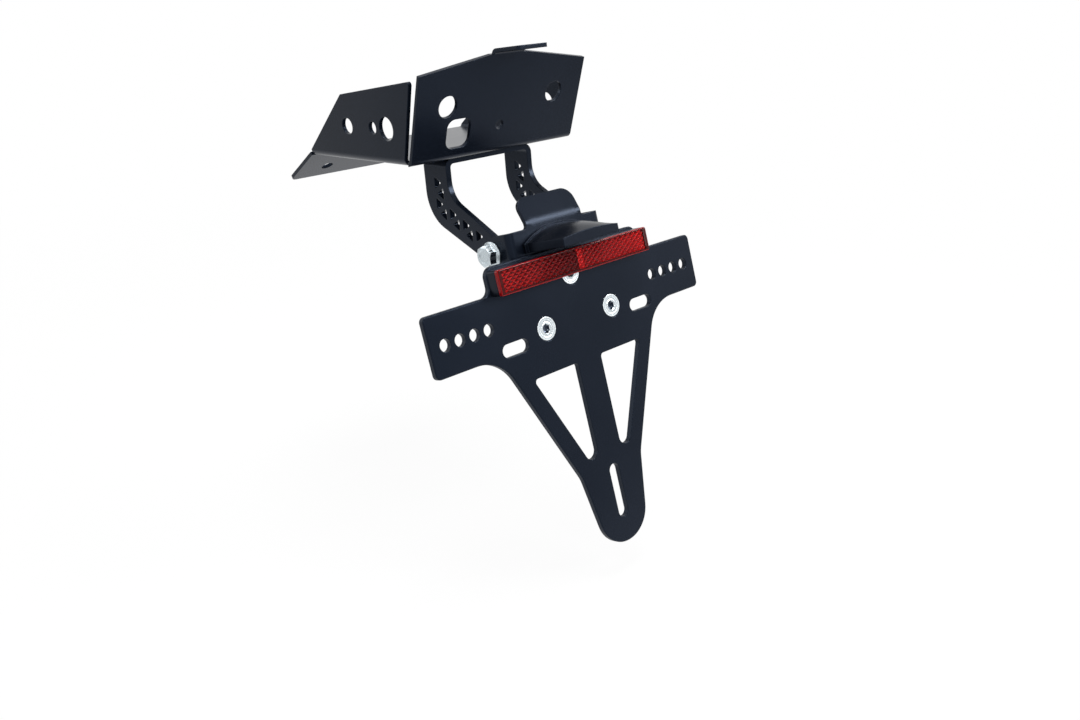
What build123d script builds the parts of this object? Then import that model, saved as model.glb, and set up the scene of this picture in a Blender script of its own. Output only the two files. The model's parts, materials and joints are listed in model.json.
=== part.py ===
"""Motorbike tail tidy: a folded bracket that carries a tilting number-plate holder.

+X is the bike's right, +Y is forward and +Z is up. The origin lies midway between
the two bolt holes of the front flange, on the face that meets the bike's tail.
"""
import os
from math import cos, radians, sin, tan

from build123d import *

# Sheet stock and bends
bracket_sheet = 2.0
yoke_sheet = 3.0
tilt_sheet = 2.0
plate_sheet = 3.0
bend_inside = 1.5
yoke_bend_inside = 2.0

# Upper bracket, measured along the base from its rear corner and up from its underside
bracket_width = 106.0
base_slope = 5.4
base_run = 94.6
rear_lean = 19.2
rear_side_height = 44.0
rear_peak_height = 50.6
tab_width = 19.0
tab_relief = 2.2
tab_fold_height = 51.5
tab_length = 17.5
tab_rise = 3.5
tab_corner = 1.5
rear_hole_d = 11.0
rear_hole_spacing = 68.8
rear_hole_height = 27.6
centre_hole_d = 4.8
centre_hole_height = 14.2
window_width = 14.6
window_height = 15.2
window_corner = 4.5
window_offset = 26.2
window_middle = 13.2

# Side panels for the indicators, which flare outwards, with heights measured up the panel
side_flare = 2.4
side_gap = 4.7
side_rear_height = 39.9
side_front_height = 33.3
side_top_front = 54.0
side_foot_front = 93.6
side_corner = 1.5
corner_relief = 0.8
indicator_height = 17.5
stem_hole_d = 11.6
stem_hole_at = 16.7
pin_hole_d = 6.3
pin_hole_at = 28.7
small_stem_slot_width = 7.9
small_stem_slot_length = 9.4
small_stem_slot_at = 52.0

# Front flange that bolts to the bike
flange_angle = 29.5
flange_length = 32.5
flange_corner = 3.0
flange_hole_d = 6.8
flange_hole_spacing = 69.4
flange_hole_from_fold = 19.8

# Arm yoke
arm_spread = 57.6
arm_width = 18.9
arm_rear = 5.4
arm_end_width = 14.4
arm_upper_angle = 26.0
arm_lower_angle = 21.5
arm_rear_sweep = 13.0
arm_front_sweep = 19.5
pivot_back = 28.4
pivot_drop = 43.9
truss_hole_r = 3.5
truss_hole_corner = 0.5
truss_pair_gap = 6.6
truss_pair_turn = 6.0
truss_pair_first = 17.1
truss_pair_pitch = 10.9
truss_pair_count = 3
truss_single_first = 12.6
truss_single_pitch = 5.4
truss_single_swing = 1.5
truss_single_middle = 12.9
truss_single_count = 3

# Tilt bracket
plate_tilt = 18.8
ear_clearance = 0.3
ear_round = 8.5
web_reach = 15.06
web_below_row = 17.0
web_corner = 6.0
row_drop = 31.82
tongue_width = 37.0
tongue_neck = 3.0
tongue_length = 13.2
tongue_lean = 23.0
tongue_corner = 6.4
tongue_bend_inside = 3.0
tongue_fillet = 1.5

# Plate holder, measured from the row of wing holes
plate_width = 182.0
wing_top = 14.75
wing_bottom = 14.4
wing_corner = 2.5
wing_hole_d = 6.1
wing_hole_first = 56.9
wing_hole_pitch = 8.47
wing_hole_count = 4
crest_width = 102.6
crest_top = 28.0
crest_corner = 5.0
crest_fillet = 4.5
sweep_at = 54.5
sweep_radius = 21.0
waist_at = 21.5
waist_drop = 87.8
waist_radius = 16.0
tail_half = 14.1
tail_drop = 129.3
tail_roundness = 0.99
cut_inner = 8.1
cut_outer = 38.0
cut_top = 30.2
cut_low = 95.4
cut_corner = 1.8
cut_foot = 4.3
side_slot_at = 43.9
side_slot_drop = 12.4
side_slot_length = 16.5
side_slot_width = 6.6
tail_slot_top = 87.0
tail_slot_bottom = 116.1
tail_slot_width = 6.8
plate_edge_break = 0.4

# Plate screws
screw_d = 6.0
screw_head_d = 12.0
screw_head_recess = 0.1
screw_length = 14.0
screw_socket = 4.0
screw_socket_depth = 2.0
lower_screw_at = 22.8
lower_screw_drop = 8.5
top_screw_rise = 14.3

# Reflector
reflector_width = 101.6
reflector_height = 12.3
reflector_middle = 20.1
reflector_base_depth = 6.0
reflector_lens_depth = 2.1
reflector_corner = 1.2
reflector_edge = 0.6

# Number-plate lamp
lamp_floor = 29.0
lamp_depth = 24.0
lamp_width = 44.0
lamp_front_width = 37.0
lamp_shoulder = 4.6
lamp_front_shoulder = 4.0
lamp_crown = 9.9
lamp_middle_crown = 9.4
lamp_front_crown = 5.2
lamp_rim = 1.5
lamp_rim_depth = 1.8
lamp_wall = 1.8
lamp_lens_thick = 1.4
lamp_fit = 0.15
chamber_width = 22.0
chamber_depth = 9.6
chamber_height = 6.0
board_thick = 1.0
diode_size = 3.0
diode_thick = 0.8
diode_count = 3
diode_pitch = 6.5
stud_d = 4.0
stud_spacing = 26.0
stud_rise = 4.2
stud_length = 8.0

# Bolts and nuts
pivot_d = 6.0
pivot_flange_d = 13.4
pivot_hex = 9.8
pivot_head = 5.6
pivot_flange_thick = 1.5
pivot_flange_taper = 25.0
pivot_head_turn = 12.0
nut_hex = 10.0
nut_flange_d = 13.0
nut_flange_thick = 1.2
nut_height = 5.6
nut_chamfer = 0.6
small_nut_hex = 7.0
small_nut_flange_d = 9.6
small_nut_height = 4.0
bolt_clearance = 0.4
thread_clearance = 0.1
bolt_past_nut = 1.2
swivel_clearance = 0.2

# Frame of the base: forward along it and up from its underside
forward = Vector(0, cos(radians(base_slope)), -sin(radians(base_slope)))
upward = Vector(0, sin(radians(base_slope)), cos(radians(base_slope)))
across = Vector(1, 0, 0)
fall_cos = cos(radians(flange_angle))
fall_sin = sin(radians(flange_angle))
mount_along = base_run + flange_hole_from_fold * fall_cos + bracket_sheet * fall_sin
mount_up = bracket_sheet * fall_cos - flange_hole_from_fold * fall_sin
base_corner = -(forward * mount_along + upward * mount_up)


def base_point(x, along, height):
    """A point given across the bike, along the base and up from its underside."""
    return base_corner + across * x + forward * along + upward * height


base_plane = Plane(origin=base_corner, x_dir=across, z_dir=upward)
side_plane = Plane(origin=base_corner, x_dir=forward, z_dir=across)
lean_cos = cos(radians(rear_lean))
lean_sin = sin(radians(rear_lean))
rear_plane = Plane(origin=base_corner, x_dir=across, z_dir=-(forward * lean_cos + upward * lean_sin))
flange_plane = Plane(
    origin=base_point(0, base_run, 0),
    x_dir=across,
    z_dir=forward * fall_sin + upward * fall_cos,
)

bracket_half = bracket_width / 2
bend_outside = bend_inside + bracket_sheet
side_tangent = bend_outside * tan(radians((90 - side_flare) / 2))
base_flat_half = bracket_half - side_tangent
rear_tangent = bend_outside * tan(radians((90 - rear_lean) / 2))

# Frame of the tilting plate: its pivot, its up direction and the direction it faces
pivot = base_point(0, -pivot_back, -pivot_drop)
plate_up = Vector(0, sin(radians(plate_tilt)), cos(radians(plate_tilt)))
plate_out = Vector(0, -cos(radians(plate_tilt)), sin(radians(plate_tilt)))


def plate_point(x, rise, out):
    """A point given across the bike, up the plate and out of it, from the pivot."""
    return pivot + across * x + plate_up * rise + plate_out * out


row_plane = Plane(origin=plate_point(0, -row_drop, web_reach), x_dir=across, z_dir=plate_out)
plate_front = row_plane.offset(plate_sheet)
web_front = row_plane.offset(-tilt_sheet)
arm_outer = arm_spread / 2
arm_inner = arm_outer - yoke_sheet
ear_inner = arm_outer + ear_clearance
ear_outer = ear_inner + tilt_sheet
tilt_bend_outside = bend_inside + tilt_sheet
web_flat_half = ear_outer - tilt_bend_outside
web_top = row_drop + ear_round


def folded_strip(points, radii, sheet):
    """Draws the edge view of a folded sheet that lies to the left of its path."""
    with BuildLine() as path:
        FilletPolyline(*points, radius=radii)
        offset(amount=sheet, side=Side.LEFT)
    make_face(path.edges())


def bend_section(side, flat_half, sheet, turn):
    """Draws the section of a bend that turns up by an angle at the side of a flat sheet."""
    outside = bend_inside + sheet
    centre = (side * flat_half, outside)
    with BuildLine() as path:
        outer = CenterArc(centre, outside, 270, side * turn)
        inner = CenterArc(centre, bend_inside, 270, side * turn)
        Line(outer @ 0, inner @ 0)
        Line(outer @ 1, inner @ 1)
    make_face(path.edges())


def round_corners(piece, points, radius):
    """Rounds the short edge that lies nearest to each given corner."""
    for point in points:
        fillet(piece.edges().sort_by_distance(point)[0], radius)


# Upper bracket: flange, base, rear panel and tab are one strip, and the side panels fold up from the base
with BuildPart() as upper_bracket:
    fold = Vector(-lean_sin, lean_cos) * tab_fold_height
    tab_way = Vector(-cos(radians(tab_rise)), sin(radians(tab_rise)))
    flange_way = Vector(fall_cos, -fall_sin)
    flange_fold = Vector(base_run, 0)
    tab_end = fold + tab_way * tab_length
    flange_end = flange_fold + flange_way * flange_length
    with BuildSketch(side_plane):
        folded_strip(
            [tab_end, fold, (0, 0), flange_fold, flange_end],
            [bend_inside, bend_outside, bend_inside],
            bracket_sheet,
        )
    extrude(amount=bracket_half, both=True)

    # The rear panel rises to a low gable, and only the tab goes on above it
    gable_reach = tab_length + tab_fold_height
    gable_start = tab_width / 2 + tab_relief
    with BuildSketch(rear_plane):
        for side in (-1, 1):
            with BuildLine():
                Polyline(
                    (side * tab_width / 2, rear_peak_height),
                    (side * gable_start, rear_peak_height),
                    (side * bracket_half, rear_side_height),
                    (side * bracket_width, rear_side_height),
                    (side * bracket_width, gable_reach),
                    (side * tab_width / 2, gable_reach),
                    close=True,
                )
            make_face()
    extrude(amount=gable_reach, both=True, mode=Mode.SUBTRACT)

    # Room beside the base for the side bends, with an open relief at each corner
    notch_end = side_foot_front + corner_relief
    with BuildSketch(base_plane):
        for side in (-1, 1):
            with Locations((side * (base_flat_half + side_tangent), (rear_tangent + notch_end) / 2)):
                Rectangle(2 * side_tangent, notch_end - rear_tangent)
    extrude(amount=bracket_sheet, both=True, mode=Mode.SUBTRACT)

    # Side panels, each with its bend and its holes
    lean_back = (side_rear_height - side_tangent) * tan(radians(rear_lean))
    for side in (-1, 1):
        bend_start = Plane(origin=base_point(0, side_gap, 0), x_dir=across, z_dir=-forward)
        with BuildSketch(bend_start):
            bend_section(side, base_flat_half, bracket_sheet, 90 - side_flare)
        extrude(amount=side_gap - side_foot_front)
        panel_up = upward * cos(radians(side_flare)) + across * side * sin(radians(side_flare))
        panel_plane = Plane(
            origin=base_point(side * bracket_half, 0, 0),
            x_dir=forward,
            z_dir=forward.cross(panel_up),
        )
        with BuildSketch(panel_plane):
            with BuildLine():
                FilletPolyline(
                    (side_gap, side_tangent),
                    (side_gap - lean_back, side_rear_height),
                    (side_top_front, side_front_height),
                    (side_foot_front, side_tangent),
                    radius=[0, side_corner, side_corner, 0],
                    close=True,
                )
            make_face()
            with Locations((stem_hole_at, indicator_height)):
                Circle(stem_hole_d / 2, mode=Mode.SUBTRACT)
            with Locations((pin_hole_at, indicator_height)):
                Circle(pin_hole_d / 2, mode=Mode.SUBTRACT)
            with Locations((small_stem_slot_at, indicator_height)):
                SlotOverall(small_stem_slot_length, small_stem_slot_width, mode=Mode.SUBTRACT)
        extrude(amount=-side * bracket_sheet)

    # Holes and cable window in the rear panel
    with BuildSketch(rear_plane):
        with Locations((-rear_hole_spacing / 2, rear_hole_height), (rear_hole_spacing / 2, rear_hole_height)):
            Circle(rear_hole_d / 2)
        with Locations((0, centre_hole_height)):
            Circle(centre_hole_d / 2)
        with Locations((-window_offset, window_middle)):
            RectangleRounded(window_width, window_height, window_corner)
    extrude(amount=2 * bracket_sheet, both=True, mode=Mode.SUBTRACT)

    # Bolt holes in the front flange
    with BuildSketch(flange_plane):
        with Locations(
            (-flange_hole_spacing / 2, flange_hole_from_fold),
            (flange_hole_spacing / 2, flange_hole_from_fold),
        ):
            Circle(flange_hole_d / 2)
    extrude(amount=2 * bracket_sheet, both=True, mode=Mode.SUBTRACT)

    tab_tip = tab_end + tab_way.rotate(Axis.Z, -90) * bracket_sheet / 2
    flange_tip = flange_end + flange_way.rotate(Axis.Z, 90) * bracket_sheet / 2
    round_corners(
        upper_bracket,
        [base_point(side * tab_width / 2, tab_tip.X, tab_tip.Y) for side in (-1, 1)],
        tab_corner,
    )
    round_corners(
        upper_bracket,
        [base_point(side * bracket_half, flange_tip.X, flange_tip.Y) for side in (-1, 1)],
        flange_corner,
    )

# Arm yoke: a crossbar welded under the base and two tapered arms that sweep back to the pivots
arm_front = arm_rear + arm_width
yoke_bend_outside = yoke_bend_inside + yoke_sheet
arm_root = yoke_bend_outside + yoke_sheet
pivot_mark = Vector(-pivot_back, -pivot_drop)
arm_round = arm_end_width / 2
arm_way = Vector(-1, 0).rotate(Axis.Z, (arm_upper_angle + arm_lower_angle) / 2)
arm_upper_end = pivot_mark + Vector(0, arm_round).rotate(Axis.Z, arm_upper_angle)
arm_lower_end = pivot_mark - Vector(0, arm_round).rotate(Axis.Z, arm_lower_angle)


def edge_corner(end, angle, along):
    """Where an edge of the sloping arm, carried on from its end, meets an upright edge."""
    return (along, end.Y + (along - end.X) * tan(radians(angle)))


with BuildPart() as arm_yoke:
    with BuildSketch(Plane(origin=base_point(0, arm_rear, 0), x_dir=across, z_dir=-forward)):
        folded_strip(
            [(arm_outer, -arm_root), (arm_outer, 0), (-arm_outer, 0), (-arm_outer, -arm_root)],
            [yoke_bend_outside, yoke_bend_outside],
            yoke_sheet,
        )
    extrude(amount=-arm_width)
    for side in (-1, 1):
        with BuildSketch(side_plane.offset(side * arm_inner)):
            with BuildLine():
                front = FilletPolyline(
                    (arm_front, -yoke_bend_outside),
                    edge_corner(arm_lower_end, arm_lower_angle, arm_front),
                    arm_lower_end,
                    radius=arm_front_sweep,
                )
                ThreePointArc(arm_lower_end, pivot_mark + arm_way * arm_round, arm_upper_end)
                rear = FilletPolyline(
                    arm_upper_end,
                    edge_corner(arm_upper_end, arm_upper_angle, arm_rear),
                    (arm_rear, -yoke_bend_outside),
                    radius=arm_rear_sweep,
                )
                Line(rear @ 1, front @ 0)
            make_face()
        extrude(amount=side * yoke_sheet)

    # Triangular lightening holes: single file down the upright part, in pairs along the sloping part
    with BuildSketch(side_plane) as truss:
        for step in range(truss_single_count):
            swing = 1 if step % 2 == 0 else -1
            middle = truss_single_middle + swing * truss_single_swing
            with Locations((middle, -truss_single_first - step * truss_single_pitch)):
                RegularPolygon(truss_hole_r, 3, rotation=90 + swing * 90)
        for pair in range(truss_pair_count):
            centre = pivot_mark - arm_way * (truss_pair_first + pair * truss_pair_pitch)
            reach = Vector(truss_pair_gap / 2, 0).rotate(Axis.Z, -truss_pair_turn)
            for swing in (-1, 1):
                with Locations(centre + reach * swing):
                    RegularPolygon(truss_hole_r, 3, rotation=90 - swing * 90)
        fillet(truss.vertices(), truss_hole_corner)
    extrude(amount=arm_spread, both=True, mode=Mode.SUBTRACT)

    with BuildSketch(side_plane):
        with Locations(pivot_mark):
            Circle((pivot_d + bolt_clearance) / 2)
    extrude(amount=arm_spread, both=True, mode=Mode.SUBTRACT)

# Tilt bracket: a web behind the plate holder, two ears outside the arms and a tongue on top
with BuildPart() as tilt_bracket:
    with BuildSketch(web_front):
        with BuildLine():
            FilletPolyline(
                (-web_flat_half, web_top),
                (-web_flat_half, -web_below_row),
                (web_flat_half, -web_below_row),
                (web_flat_half, web_top),
                radius=[0, web_corner, web_corner, 0],
                close=True,
            )
        make_face()
    extrude(amount=tilt_sheet)

    for side in (-1, 1):
        ear_foot = Plane(origin=plate_point(0, -ear_round, web_reach), x_dir=across, z_dir=plate_up)
        with BuildSketch(ear_foot):
            bend_section(side, web_flat_half, tilt_sheet, 90)
        extrude(amount=2 * ear_round)
        ear_plane = Plane(origin=plate_point(side * ear_inner, 0, 0), x_dir=plate_out, z_dir=across)
        with BuildSketch(ear_plane):
            Circle(ear_round)
            with Locations(((web_reach - tilt_bend_outside) / 2, 0)):
                Rectangle(web_reach - tilt_bend_outside, 2 * ear_round)
            Circle((pivot_d + bolt_clearance) / 2, mode=Mode.SUBTRACT)
        extrude(amount=side * tilt_sheet)

    # The tongue leans forward above a rounded bend
    tongue_way = Vector(-sin(radians(tongue_lean)), cos(radians(tongue_lean)))
    tongue_foot = Vector(web_reach, ear_round)
    tongue_bend = tongue_foot + Vector(0, tongue_neck)
    tongue_tip = tongue_bend + tongue_way * tongue_length
    tongue_corner_at = tongue_tip + tongue_way.rotate(Axis.Z, 90) * tilt_sheet / 2
    with BuildSketch(Plane(origin=pivot, x_dir=plate_out, z_dir=-across)):
        folded_strip([tongue_foot, tongue_bend, tongue_tip], [tongue_bend_inside + tilt_sheet], tilt_sheet)
    extrude(amount=tongue_width / 2, both=True)
    round_corners(
        tilt_bracket,
        [plate_point(side * tongue_width / 2, ear_round, web_reach - tilt_sheet / 2) for side in (-1, 1)],
        tongue_fillet,
    )
    round_corners(
        tilt_bracket,
        [plate_point(side * tongue_width / 2, tongue_corner_at.Y, tongue_corner_at.X) for side in (-1, 1)],
        tongue_corner,
    )

    # Holes for the plate screws and the lamp's studs
    with BuildSketch(web_front):
        with Locations(
            (-lower_screw_at, -lower_screw_drop),
            (lower_screw_at, -lower_screw_drop),
            (0, top_screw_rise),
        ):
            Circle((screw_d + bolt_clearance) / 2)
        with Locations(
            (-stud_spacing / 2, lamp_floor + stud_rise),
            (stud_spacing / 2, lamp_floor + stud_rise),
        ):
            Circle((stud_d + bolt_clearance) / 2)
    extrude(amount=tilt_sheet, mode=Mode.SUBTRACT)

# Plate holder: one flat sheet with wings, crest and a V-shaped tail
with BuildPart(plate_front) as plate_holder:
    wing = plate_width / 2
    crest = crest_width / 2
    half_outline = [
        (crest, crest_top, crest_corner),
        (crest, wing_top, crest_fillet),
        (wing, wing_top, wing_corner),
        (wing, -wing_bottom, wing_corner),
        (sweep_at, -wing_bottom, sweep_radius),
        (waist_at, -waist_drop, waist_radius),
    ]
    tail_lean = (waist_at - tail_half) / (tail_drop - waist_drop)
    tail_round = tail_roundness * tail_half * ((1 + tail_lean**2) ** 0.5 + tail_lean)
    half_outline.append((tail_half, -tail_drop, tail_round))
    outline = half_outline + [(-x, y, radius) for x, y, radius in reversed(half_outline)]
    with BuildSketch(plate_front):
        with BuildLine():
            FilletPolyline(
                *[(x, y) for x, y, radius in outline],
                radius=[radius for x, y, radius in outline],
                close=True,
            )
        make_face()
        for side in (-1, 1):
            with BuildLine():
                FilletPolyline(
                    (side * cut_inner, -cut_top),
                    (side * cut_outer, -cut_top),
                    (side * cut_inner, -cut_low),
                    radius=[cut_corner, cut_corner, cut_foot],
                    close=True,
                )
            make_face(mode=Mode.SUBTRACT)
            with Locations((side * side_slot_at, -side_slot_drop)):
                SlotOverall(side_slot_length, side_slot_width, mode=Mode.SUBTRACT)
            for hole in range(wing_hole_count):
                with Locations((side * (wing_hole_first + hole * wing_hole_pitch), 0)):
                    Circle(wing_hole_d / 2, mode=Mode.SUBTRACT)
        with Locations((0, -(tail_slot_top + tail_slot_bottom) / 2)):
            SlotOverall(tail_slot_bottom - tail_slot_top, tail_slot_width, rotation=90, mode=Mode.SUBTRACT)
    extrude(amount=-plate_sheet)
    rim = plate_holder.faces().sort_by(Axis(plate_front.origin, plate_out))[-1].outer_wire()
    chamfer(rim.edges(), plate_edge_break)
    with Locations(
        (-lower_screw_at, -lower_screw_drop),
        (lower_screw_at, -lower_screw_drop),
        (0, top_screw_rise),
    ):
        CounterSinkHole(
            (screw_d + bolt_clearance) / 2,
            (screw_head_d + bolt_clearance) / 2,
            counter_sink_angle=90,
        )

# Reflector: a black block on the crest and a red lens on its front
reflector_foot = Plane(
    origin=plate_front.from_local_coords(Vector(0, reflector_middle, 0)),
    x_dir=across,
    z_dir=plate_out,
)
with BuildPart() as reflector_base:
    with BuildSketch(reflector_foot):
        RectangleRounded(reflector_width, reflector_height, reflector_corner)
    extrude(amount=reflector_base_depth)

with BuildPart() as reflector_lens:
    with BuildSketch(reflector_foot.offset(reflector_base_depth)):
        RectangleRounded(reflector_width, reflector_height, reflector_corner)
    extrude(amount=reflector_lens_depth)
    lens_front = reflector_lens.faces().sort_by(Axis(reflector_foot.origin, plate_out))[-1]
    chamfer(lens_front.edges(), reflector_edge)

# Lamp housing: a hood that sinks from an arch on the web to a low straight front
lamp_plane = Plane(
    origin=row_plane.from_local_coords(Vector(0, lamp_floor, 0)),
    x_dir=across,
    z_dir=plate_out,
)


def lamp_arch(half, shoulder, crown):
    """Draws a flat-bottomed section with upright sides and an arched top."""
    with BuildLine() as path:
        Polyline((-half, shoulder), (-half, 0), (half, 0), (half, shoulder))
        ThreePointArc((half, shoulder), (0, crown), (-half, shoulder))
    make_face(path.edges())


lamp_floor_plane = Plane(origin=lamp_plane.origin, x_dir=across, z_dir=plate_up)
lamp_half = lamp_width / 2
lamp_front_half = lamp_front_width / 2


def lamp_half_at(depth):
    """Half the housing's width at a depth out from the web."""
    return lamp_half + (lamp_front_half - lamp_half) * depth / lamp_depth


def lamp_opening(gap):
    """Corners of the opening under the hood, drawn in by a gap."""
    back = lamp_wall + gap
    front = lamp_depth - lamp_wall - gap
    back_half = lamp_half_at(back) - lamp_wall - gap
    front_half = lamp_half_at(front) - lamp_wall - gap
    return [(-back_half, -back), (back_half, -back), (front_half, -front), (-front_half, -front)]


chamber_middle = -(lamp_wall + chamber_depth / 2 + lamp_fit)
with BuildPart() as lamp_housing:
    with BuildSketch(lamp_plane):
        lamp_arch(lamp_half, lamp_shoulder, lamp_crown)
    with BuildSketch(lamp_plane.offset(lamp_depth / 2)):
        lamp_arch(lamp_half_at(lamp_depth / 2), (lamp_shoulder + lamp_front_shoulder) / 2, lamp_middle_crown)
    with BuildSketch(lamp_plane.offset(lamp_depth)):
        lamp_arch(lamp_front_half, lamp_front_shoulder, lamp_front_crown)
    loft()
    with BuildSketch(lamp_plane):
        lamp_arch(lamp_half + lamp_rim, lamp_shoulder, lamp_crown + lamp_rim)
    extrude(amount=lamp_rim_depth)
    with BuildSketch(lamp_floor_plane):
        with BuildLine():
            Polyline(*lamp_opening(0), close=True)
        make_face()
    extrude(amount=lamp_lens_thick, mode=Mode.SUBTRACT)
    with BuildSketch(lamp_floor_plane):
        with Locations((0, chamber_middle)):
            Rectangle(chamber_width, chamber_depth)
    extrude(amount=chamber_height, mode=Mode.SUBTRACT)
    with BuildSketch(lamp_plane):
        with Locations((-stud_spacing / 2, stud_rise), (stud_spacing / 2, stud_rise)):
            Circle(stud_d / 2)
    extrude(amount=-stud_length)

with BuildPart() as lamp_lens:
    with BuildSketch(lamp_floor_plane):
        with BuildLine():
            Polyline(*lamp_opening(lamp_fit), close=True)
        make_face()
    extrude(amount=lamp_lens_thick)

with BuildPart() as lamp_board:
    with BuildSketch(lamp_floor_plane.offset(chamber_height - board_thick)):
        with Locations((0, chamber_middle)):
            Rectangle(chamber_width - 2 * lamp_fit, chamber_depth - 2 * lamp_fit)
    extrude(amount=board_thick)
    with BuildSketch(lamp_floor_plane.offset(chamber_height - board_thick)):
        with Locations((0, chamber_middle)):
            with GridLocations(diode_pitch, diode_pitch, diode_count, 1):
                Rectangle(diode_size, diode_size)
    extrude(amount=-diode_thick)


def hex_flange_bolt(seat, grip):
    """A hex bolt with a flange under its head, seated on a plane that faces away from the shank."""
    with BuildPart() as bolt:
        with BuildSketch(seat):
            Circle(pivot_flange_d / 2)
        extrude(amount=pivot_flange_thick, taper=pivot_flange_taper)
        with BuildSketch(seat):
            RegularPolygon(pivot_hex / 2, 6, major_radius=False, rotation=pivot_head_turn)
        extrude(amount=pivot_head)
        crown = bolt.faces().sort_by(Axis(seat.origin, seat.z_dir))[-1]
        chamfer(crown.edges(), nut_chamfer)
        with BuildSketch(seat):
            Circle(pivot_d / 2)
        extrude(amount=-grip)
    return bolt


def flange_nut(seat, bolt_d, hex_width, flange_d, height):
    """A hex nut with a flange, seated on a plane that faces away from the clamped sheet."""
    with BuildPart() as nut:
        with BuildSketch(seat):
            Circle(flange_d / 2)
        extrude(amount=nut_flange_thick)
        with BuildSketch(seat):
            RegularPolygon(hex_width / 2, 6, major_radius=False)
        extrude(amount=height)
        crown = nut.faces().sort_by(Axis(seat.origin, seat.z_dir))[-1]
        chamfer(crown.edges(), nut_chamfer)
        with BuildSketch(seat):
            Circle((bolt_d + thread_clearance) / 2)
        extrude(amount=height, mode=Mode.SUBTRACT)
    return nut


def countersunk_screw(seat):
    """A countersunk screw with a hex socket, its head just under the plate's face."""
    head_face = seat.offset(-screw_head_recess)
    with BuildPart(head_face) as screw:
        Cylinder(screw_d / 2, screw_length, align=(Align.CENTER, Align.CENTER, Align.MAX))
        Cone(
            screw_d / 2,
            screw_head_d / 2,
            (screw_head_d - screw_d) / 2,
            align=(Align.CENTER, Align.CENTER, Align.MAX),
        )
        with BuildSketch(head_face):
            RegularPolygon(screw_socket / 2, 6, major_radius=False)
        extrude(amount=-screw_socket_depth, mode=Mode.SUBTRACT)
    return screw


os.makedirs("parts", exist_ok=True)


def write(piece, name):
    """Labels a finished piece and writes its file."""
    piece.part.label = name
    export_step(piece.part, f"parts/{name}.step")


write(upper_bracket, "upper_bracket")
write(arm_yoke, "arm_yoke")
write(tilt_bracket, "tilt_bracket")
write(plate_holder, "plate_holder")
write(reflector_base, "reflector_base")
write(reflector_lens, "reflector_lens")
write(lamp_housing, "lamp_housing")
write(lamp_lens, "lamp_lens")
write(lamp_board, "lamp_board")

# Fasteners in left and right pairs
pivot_grip = tilt_sheet + ear_clearance + yoke_sheet + swivel_clearance + nut_height + bolt_past_nut
for side, hand in ((-1, "left"), (1, "right")):
    bolt_seat = Plane(origin=plate_point(side * ear_outer, 0, 0), x_dir=plate_up, z_dir=across * side)
    write(hex_flange_bolt(bolt_seat, pivot_grip), f"pivot_bolt_{hand}")
    nut_seat = Plane(
        origin=plate_point(side * (arm_inner - swivel_clearance), 0, 0),
        x_dir=plate_up,
        z_dir=across * -side,
    )
    write(flange_nut(nut_seat, pivot_d, nut_hex, nut_flange_d, nut_height), f"pivot_nut_{hand}")

    stud_seat = Plane(
        origin=web_front.from_local_coords(Vector(side * stud_spacing / 2, lamp_floor + stud_rise, 0)),
        x_dir=across,
        z_dir=-plate_out,
    )
    lamp_nut = flange_nut(stud_seat, stud_d, small_nut_hex, small_nut_flange_d, small_nut_height)
    write(lamp_nut, f"lamp_nut_{hand}")

# Plate screws and the nuts behind the web
screw_places = {
    "left": (-lower_screw_at, -lower_screw_drop),
    "right": (lower_screw_at, -lower_screw_drop),
    "top": (0, top_screw_rise),
}
for place, (x, rise) in screw_places.items():
    spot = Vector(x, rise, 0)
    screw_seat = Plane(origin=plate_front.from_local_coords(spot), x_dir=across, z_dir=plate_out)
    write(countersunk_screw(screw_seat), f"plate_screw_{place}")
    back_seat = Plane(origin=web_front.from_local_coords(spot), x_dir=across, z_dir=-plate_out)
    write(flange_nut(back_seat, screw_d, nut_hex, nut_flange_d, nut_height), f"plate_nut_{place}")
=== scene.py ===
# %% [markdown]
# # Dressing a motorbike tail tidy
# A tail tidy is a folded sheet bracket under the tail of a motorbike. It carries a tilting
# number-plate holder, a small lamp and a red reflector. The solids come from a CAD model and are
# already in place, so this lesson gives the sheets their finish, and rebuilds the small pieces whose
# fine detail a CAD solid leaves out: bolts, nuts, screws and the reflector.

# %% Load the frame
import json
from math import pi, radians, sqrt, tan

import bmesh
import bpy
from mathutils import Matrix, Vector


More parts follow.
